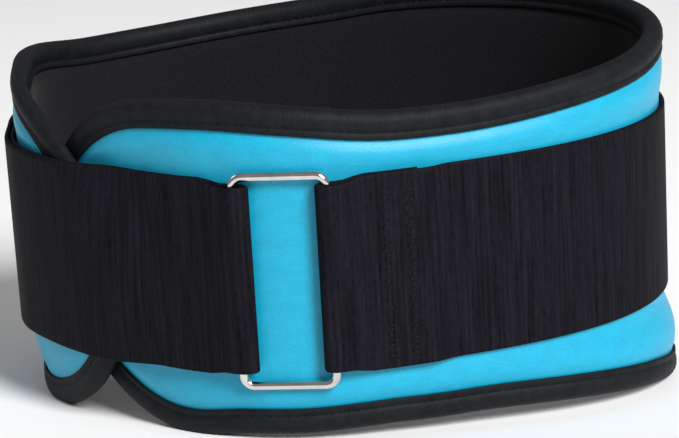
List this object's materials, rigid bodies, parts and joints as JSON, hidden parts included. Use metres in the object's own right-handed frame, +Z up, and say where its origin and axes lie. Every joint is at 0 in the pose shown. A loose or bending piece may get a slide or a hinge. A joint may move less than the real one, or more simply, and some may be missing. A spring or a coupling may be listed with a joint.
{
  "type": "weightlifting belt",
  "caption": "Fastened weightlifting belt: contoured foam band with bound edges, webbing strap round it and a rectangular wire ring at the front, standing on its lower edge.",
  "frame": {"origin": "on the floor under the middle of the belt's overall box, as it stands by itself on its lower edge", "axes": "+Z up, +X to the wearer's left, -Y out through the front with the ring, +Y through the back"},
  "size_m": [0.2734, 0.2268, 0.1566],
  "materials": {
    "turquoise_cloth": "smooth turquoise nylon over foam",
    "black_tape": "black folded binding tape, sewn",
    "black_webbing": "black ribbed webbing",
    "chromed_wire": "chromed round wire, bright"
  },
  "bodies": {
    "root": {"belt_body": "turquoise_cloth", "edge_binding": "black_tape", "strap": "black_webbing", "ring": "chromed_wire"}
  },
  "joints": []
}
